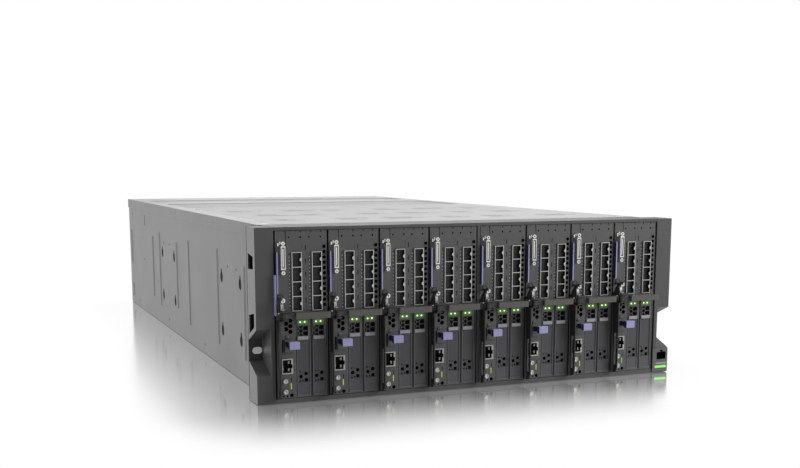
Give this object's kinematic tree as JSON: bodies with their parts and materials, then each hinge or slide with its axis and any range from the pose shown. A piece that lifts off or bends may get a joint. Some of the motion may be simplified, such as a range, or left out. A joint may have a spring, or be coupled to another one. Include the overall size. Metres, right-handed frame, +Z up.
{
  "type": "blade server chassis",
  "caption": "Rack enclosure with upright server blades that slide out of its front, each with drive carriers, ports and an ejector lever, and power supplies that slide out of its rear.",
  "frame": {"origin": "on the underside, midway between the ears, level with the rear faces of the rack flanges, which meet the rack's posts", "axes": "+X to the right seen from the front, +Y to the rear, +Z up"},
  "size_m": [0.4826, 0.9239, 0.1752],
  "materials": {
    "tray_steel": "satin galvanised sheet",
    "frame_steel": "satin powder coat",
    "ear_plastic": "fine moulded texture",
    "cover_steel": "satin painted sheet",
    "guide_steel": "satin",
    "board": "solder mask",
    "fan_plastic": "moulded",
    "rear_steel": "satin galvanised sheet",
    "supply_case": "satin galvanised sheet",
    "blade_steel": "satin painted sheet",
    "fitting_metal": "plated cages, jack and brackets",
    "carrier": "moulded bezel on a drive's case",
    "lever_metal": "satin painted bar",
    "slider_plastic": "moulded, pale violet"
  },
  "bodies": {
    "chassis": {"chassis_tray": "tray_steel", "front_frame": "frame_steel", "left_ear": "ear_plastic", "right_ear": "ear_plastic", "front_cover": "cover_steel", "rear_cover": "cover_steel", "bay_guides": "guide_steel", "midplane": "board", "fan_row": "fan_plastic", "rear_panel": "rear_steel"},
    "power_supply_1": {"power_supply_1": "supply_case"},
    "power_supply_2": {"power_supply_2": "supply_case"},
    "blade_1": {"blade_1_housing": "blade_steel", "blade_1_face_fittings": "fitting_metal"},
    "blade_1_drive_a": {"blade_1_drive_a": "carrier"},
    "blade_1_drive_b": {"blade_1_drive_b": "carrier"},
    "blade_1_lever": {"blade_1_lever": "lever_metal"},
    "blade_1_slider": {"blade_1_slider": "slider_plastic"},
    "blade_2": {"blade_2_housing": "blade_steel", "blade_2_face_fittings": "fitting_metal"},
    "blade_2_drive_a": {"blade_2_drive_a": "carrier"},
    "blade_2_drive_b": {"blade_2_drive_b": "carrier"},
    "blade_2_lever": {"blade_2_lever": "lever_metal"},
    "blade_2_slider": {"blade_2_slider": "slider_plastic"},
    "blade_3": {"blade_3_housing": "blade_steel", "blade_3_face_fittings": "fitting_metal"},
    "blade_3_drive_a": {"blade_3_drive_a": "carrier"},
    "blade_3_drive_b": {"blade_3_drive_b": "carrier"},
    "blade_3_lever": {"blade_3_lever": "lever_metal"},
    "blade_3_slider": {"blade_3_slider": "slider_plastic"},
    "blade_4": {"blade_4_housing": "blade_steel", "blade_4_face_fittings": "fitting_metal"},
    "blade_4_drive_a": {"blade_4_drive_a": "carrier"},
    "blade_4_drive_b": {"blade_4_drive_b": "carrier"},
    "blade_4_lever": {"blade_4_lever": "lever_metal"},
    "blade_4_slider": {"blade_4_slider": "slider_plastic"},
    "blade_5": {"blade_5_housing": "blade_steel", "blade_5_face_fittings": "fitting_metal"},
    "blade_5_drive_a": {"blade_5_drive_a": "carrier"},
    "blade_5_drive_b": {"blade_5_drive_b": "carrier"},
    "blade_5_lever": {"blade_5_lever": "lever_metal"},
    "blade_5_slider": {"blade_5_slider": "slider_plastic"},
    "blade_6": {"blade_6_housing": "blade_steel", "blade_6_face_fittings": "fitting_metal"},
    "blade_6_drive_a": {"blade_6_drive_a": "carrier"},
    "blade_6_drive_b": {"blade_6_drive_b": "carrier"},
    "blade_6_lever": {"blade_6_lever": "lever_metal"},
    "blade_6_slider": {"blade_6_slider": "slider_plastic"},
    "blade_7": {"blade_7_housing": "blade_steel", "blade_7_face_fittings": "fitting_metal"},
    "blade_7_drive_a": {"blade_7_drive_a": "carrier"},
    "blade_7_drive_b": {"blade_7_drive_b": "carrier"},
    "blade_7_lever": {"blade_7_lever": "lever_metal"},
    "blade_7_slider": {"blade_7_slider": "slider_plastic"},
    "blade_8": {"blade_8_housing": "blade_steel", "blade_8_face_fittings": "fitting_metal"},
    "blade_8_drive_a": {"blade_8_drive_a": "carrier"},
    "blade_8_drive_b": {"blade_8_drive_b": "carrier"},
    "blade_8_lever": {"blade_8_lever": "lever_metal"},
    "blade_8_slider": {"blade_8_slider": "slider_plastic"}
  },
  "joints": [
    {"name": "power_supply_1_slide", "type": "slide", "parent": "chassis", "child": "power_supply_1", "axis": [0, 1, 0], "range_m": [0, 0.22]},
    {"name": "power_supply_2_slide", "type": "slide", "parent": "chassis", "child": "power_supply_2", "axis": [0, 1, 0], "range_m": [0, 0.22]},
    {"name": "blade_1_slide", "type": "slide", "parent": "chassis", "child": "blade_1", "axis": [0, -1, 0], "range_m": [0, 0.46]},
    {"name": "blade_1_drive_a_slide", "type": "slide", "parent": "blade_1", "child": "blade_1_drive_a", "axis": [0, -1, 0], "range_m": [0, 0.095]},
    {"name": "blade_1_drive_b_slide", "type": "slide", "parent": "blade_1", "child": "blade_1_drive_b", "axis": [0, -1, 0], "range_m": [0, 0.095]},
    {"name": "blade_1_lever_swing", "type": "hinge", "parent": "blade_1", "child": "blade_1_lever", "pos_m": [-0.2131, -0.038, 0.0885], "axis": [0, 0, -1], "range_deg": [0, 75]},
    {"name": "blade_1_slider_press", "type": "slide", "parent": "blade_1", "child": "blade_1_slider", "axis": [0, 0, -1], "range_m": [0, 0.004], "stiffness_N_per_m": 300, "springref_m": -0.004},
    {"name": "blade_2_slide", "type": "slide", "parent": "chassis", "child": "blade_2", "axis": [0, -1, 0], "range_m": [0, 0.46]},
    {"name": "blade_2_drive_a_slide", "type": "slide", "parent": "blade_2", "child": "blade_2_drive_a", "axis": [0, -1, 0], "range_m": [0, 0.095]},
    {"name": "blade_2_drive_b_slide", "type": "slide", "parent": "blade_2", "child": "blade_2_drive_b", "axis": [0, -1, 0], "range_m": [0, 0.095]},
    {"name": "blade_2_lever_swing", "type": "hinge", "parent": "blade_2", "child": "blade_2_lever", "pos_m": [-0.1582, -0.038, 0.0885], "axis": [0, 0, -1], "range_deg": [0, 75]},
    {"name": "blade_2_slider_press", "type": "slide", "parent": "blade_2", "child": "blade_2_slider", "axis": [0, 0, -1], "range_m": [0, 0.004], "stiffness_N_per_m": 300, "springref_m": -0.004},
    {"name": "blade_3_slide", "type": "slide", "parent": "chassis", "child": "blade_3", "axis": [0, -1, 0], "range_m": [0, 0.46]},
    {"name": "blade_3_drive_a_slide", "type": "slide", "parent": "blade_3", "child": "blade_3_drive_a", "axis": [0, -1, 0], "range_m": [0, 0.095]},
    {"name": "blade_3_drive_b_slide", "type": "slide", "parent": "blade_3", "child": "blade_3_drive_b", "axis": [0, -1, 0], "range_m": [0, 0.095]},
    {"name": "blade_3_lever_swing", "type": "hinge", "parent": "blade_3", "child": "blade_3_lever", "pos_m": [-0.1033, -0.038, 0.0885], "axis": [0, 0, -1], "range_deg": [0, 75]},
    {"name": "blade_3_slider_press", "type": "slide", "parent": "blade_3", "child": "blade_3_slider", "axis": [0, 0, -1], "range_m": [0, 0.004], "stiffness_N_per_m": 300, "springref_m": -0.004},
    {"name": "blade_4_slide", "type": "slide", "parent": "chassis", "child": "blade_4", "axis": [0, -1, 0], "range_m": [0, 0.46]},
    {"name": "blade_4_drive_a_slide", "type": "slide", "parent": "blade_4", "child": "blade_4_drive_a", "axis": [0, -1, 0], "range_m": [0, 0.095]},
    {"name": "blade_4_drive_b_slide", "type": "slide", "parent": "blade_4", "child": "blade_4_drive_b", "axis": [0, -1, 0], "range_m": [0, 0.095]},
    {"name": "blade_4_lever_swing", "type": "hinge", "parent": "blade_4", "child": "blade_4_lever", "pos_m": [-0.0484, -0.038, 0.0885], "axis": [0, 0, -1], "range_deg": [0, 75]},
    {"name": "blade_4_slider_press", "type": "slide", "parent": "blade_4", "child": "blade_4_slider", "axis": [0, 0, -1], "range_m": [0, 0.004], "stiffness_N_per_m": 300, "springref_m": -0.004},
    {"name": "blade_5_slide", "type": "slide", "parent": "chassis", "child": "blade_5", "axis": [0, -1, 0], "range_m": [0, 0.46]},
    {"name": "blade_5_drive_a_slide", "type": "slide", "parent": "blade_5", "child": "blade_5_drive_a", "axis": [0, -1, 0], "range_m": [0, 0.095]},
    {"name": "blade_5_drive_b_slide", "type": "slide", "parent": "blade_5", "child": "blade_5_drive_b", "axis": [0, -1, 0], "range_m": [0, 0.095]},
    {"name": "blade_5_lever_swing", "type": "hinge", "parent": "blade_5", "child": "blade_5_lever", "pos_m": [0.0095, -0.038, 0.0885], "axis": [0, 0, -1], "range_deg": [0, 75]},
    {"name": "blade_5_slider_press", "type": "slide", "parent": "blade_5", "child": "blade_5_slider", "axis": [0, 0, -1], "range_m": [0, 0.004], "stiffness_N_per_m": 300, "springref_m": -0.004},
    {"name": "blade_6_slide", "type": "slide", "parent": "chassis", "child": "blade_6", "axis": [0, -1, 0], "range_m": [0, 0.46]},
    {"name": "blade_6_drive_a_slide", "type": "slide", "parent": "blade_6", "child": "blade_6_drive_a", "axis": [0, -1, 0], "range_m": [0, 0.095]},
    {"name": "blade_6_drive_b_slide", "type": "slide", "parent": "blade_6", "child": "blade_6_drive_b", "axis": [0, -1, 0], "range_m": [0, 0.095]},
    {"name": "blade_6_lever_swing", "type": "hinge", "parent": "blade_6", "child": "blade_6_lever", "pos_m": [0.0644, -0.038, 0.0885], "axis": [0, 0, -1], "range_deg": [0, 75]},
    {"name": "blade_6_slider_press", "type": "slide", "parent": "blade_6", "child": "blade_6_slider", "axis": [0, 0, -1], "range_m": [0, 0.004], "stiffness_N_per_m": 300, "springref_m": -0.004},
    {"name": "blade_7_slide", "type": "slide", "parent": "chassis", "child": "blade_7", "axis": [0, -1, 0], "range_m": [0, 0.46]},
    {"name": "blade_7_drive_a_slide", "type": "slide", "parent": "blade_7", "child": "blade_7_drive_a", "axis": [0, -1, 0], "range_m": [0, 0.095]},
    {"name": "blade_7_drive_b_slide", "type": "slide", "parent": "blade_7", "child": "blade_7_drive_b", "axis": [0, -1, 0], "range_m": [0, 0.095]},
    {"name": "blade_7_lever_swing", "type": "hinge", "parent": "blade_7", "child": "blade_7_lever", "pos_m": [0.1193, -0.038, 0.0885], "axis": [0, 0, -1], "range_deg": [0, 75]},
    {"name": "blade_7_slider_press", "type": "slide", "parent": "blade_7", "child": "blade_7_slider", "axis": [0, 0, -1], "range_m": [0, 0.004], "stiffness_N_per_m": 300, "springref_m": -0.004},
    {"name": "blade_8_slide", "type": "slide", "parent": "chassis", "child": "blade_8", "axis": [0, -1, 0], "range_m": [0, 0.46]},
    {"name": "blade_8_drive_a_slide", "type": "slide", "parent": "blade_8", "child": "blade_8_drive_a", "axis": [0, -1, 0], "range_m": [0, 0.095]},
    {"name": "blade_8_drive_b_slide", "type": "slide", "parent": "blade_8", "child": "blade_8_drive_b", "axis": [0, -1, 0], "range_m": [0, 0.095]},
    {"name": "blade_8_lever_swing", "type": "hinge", "parent": "blade_8", "child": "blade_8_lever", "pos_m": [0.1742, -0.038, 0.0885], "axis": [0, 0, -1], "range_deg": [0, 75]},
    {"name": "blade_8_slider_press", "type": "slide", "parent": "blade_8", "child": "blade_8_slider", "axis": [0, 0, -1], "range_m": [0, 0.004], "stiffness_N_per_m": 300, "springref_m": -0.004}
  ]
}
